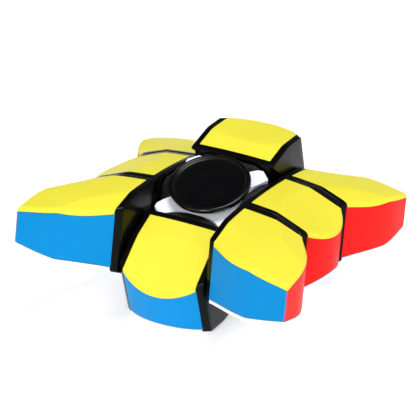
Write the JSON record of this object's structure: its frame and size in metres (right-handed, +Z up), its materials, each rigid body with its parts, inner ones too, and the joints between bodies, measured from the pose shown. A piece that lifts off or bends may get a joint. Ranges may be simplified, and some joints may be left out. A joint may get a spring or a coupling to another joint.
{
  "type": "twisting puzzle spinner",
  "caption": "One-layer twisting puzzle that spins on a finger: a bearing core with finger caps, and domed edge and pointed corner pieces with coloured tiles, its side rows part turned.",
  "frame": {"origin": "bottom centre of the bounding box, on the surface that the puzzle rests on", "axes": "+Z up as it rests, +Y towards the back edge, +X along the axis that the left and right rows turn about"},
  "size_m": [0.0784, 0.0792, 0.0333],
  "materials": {
    "yellow_tile": "bright yellow moulded ABS with a soft satin gloss",
    "white_tile": "cool white moulded ABS with a soft satin gloss",
    "blue_tile": "sky blue moulded ABS with a soft satin gloss",
    "red_tile": "warm red moulded ABS with a soft satin gloss",
    "orange_tile": "orange moulded ABS with a soft satin gloss",
    "green_tile": "green moulded ABS with a soft satin gloss",
    "black_body": "black moulded ABS, glossy, with rounded edges",
    "black_cap": "black moulded ABS, glossy rim and softly dished face",
    "white_core": "white moulded ABS",
    "screw_steel": "plain steel wire and screw heads",
    "bearing_steel": "ground and polished bearing steel"
  },
  "bodies": {
    "core": {"core_frame": "white_core", "upper_core_cover": "white_core", "lower_core_cover": "white_core", "bearing_outer_ring": "bearing_steel", "back_edge_screw": "screw_steel", "left_edge_screw": "screw_steel", "front_edge_screw": "screw_steel", "right_edge_screw": "screw_steel", "back_edge_spring": "screw_steel", "left_edge_spring": "screw_steel", "front_edge_spring": "screw_steel", "right_edge_spring": "screw_steel"},
    "finger_caps": {"upper_finger_cap": "black_cap", "lower_finger_cap": "black_cap", "bearing_inner_ring": "bearing_steel"},
    "ball_set": {"bearing_ball_set": "bearing_steel"},
    "front_edge": {"front_edge_body": "black_body", "front_edge_foot": "black_body", "front_edge_top_tile": "yellow_tile", "front_edge_bottom_tile": "white_tile", "front_edge_outer_tile": "blue_tile"},
    "back_edge": {"back_edge_body": "black_body", "back_edge_foot": "black_body", "back_edge_top_tile": "yellow_tile", "back_edge_bottom_tile": "white_tile", "back_edge_outer_tile": "green_tile"},
    "left_row": {"left_edge_body": "black_body", "left_edge_foot": "black_body", "left_edge_top_tile": "yellow_tile", "left_edge_bottom_tile": "white_tile", "left_edge_outer_tile": "orange_tile", "back_left_corner_body": "black_body", "back_left_corner_top_tile": "yellow_tile", "back_left_corner_bottom_tile": "white_tile", "back_left_corner_left_tile": "orange_tile", "back_left_corner_back_tile": "green_tile", "front_left_corner_body": "black_body", "front_left_corner_top_tile": "yellow_tile", "front_left_corner_bottom_tile": "white_tile", "front_left_corner_front_tile": "blue_tile", "front_left_corner_left_tile": "orange_tile"},
    "right_row": {"right_edge_body": "black_body", "right_edge_foot": "black_body", "right_edge_top_tile": "yellow_tile", "right_edge_bottom_tile": "white_tile", "right_edge_outer_tile": "red_tile", "back_right_corner_body": "black_body", "back_right_corner_top_tile": "yellow_tile", "back_right_corner_bottom_tile": "white_tile", "back_right_corner_back_tile": "green_tile", "back_right_corner_right_tile": "red_tile", "front_right_corner_body": "black_body", "front_right_corner_top_tile": "yellow_tile", "front_right_corner_bottom_tile": "white_tile", "front_right_corner_right_tile": "red_tile", "front_right_corner_front_tile": "blue_tile"}
  },
  "joints": [
    {"name": "cap_spin", "type": "hinge", "parent": "core", "child": "finger_caps", "pos_m": [0, 0, 0.01666], "axis": [0, -0.225, 0.9744], "continuous": true},
    {"name": "ball_set_roll", "type": "hinge", "parent": "core", "child": "ball_set", "pos_m": [0, 0, 0.01666], "axis": [0, -0.225, 0.9744], "continuous": true},
    {"name": "left_row_turn", "type": "hinge", "parent": "core", "child": "left_row", "pos_m": [0, 0, 0.01666], "axis": [1, 0, 0], "continuous": true},
    {"name": "right_row_turn", "type": "hinge", "parent": "core", "child": "right_row", "pos_m": [0, 0, 0.01666], "axis": [1, 0, 0], "continuous": true},
    {"name": "front_edge_rock", "type": "hinge", "parent": "core", "child": "front_edge", "pos_m": [0, 0, 0.01666], "axis": [0, 0.9744, 0.225], "range_deg": [-1, 1]},
    {"name": "back_edge_rock", "type": "hinge", "parent": "core", "child": "back_edge", "pos_m": [0, 0, 0.01666], "axis": [0, 0.9744, 0.225], "range_deg": [-1, 1]}
  ],
  "couplings": [
    {"joint": "ball_set_roll", "follows": "cap_spin", "ratio": 0.4347}
  ]
}
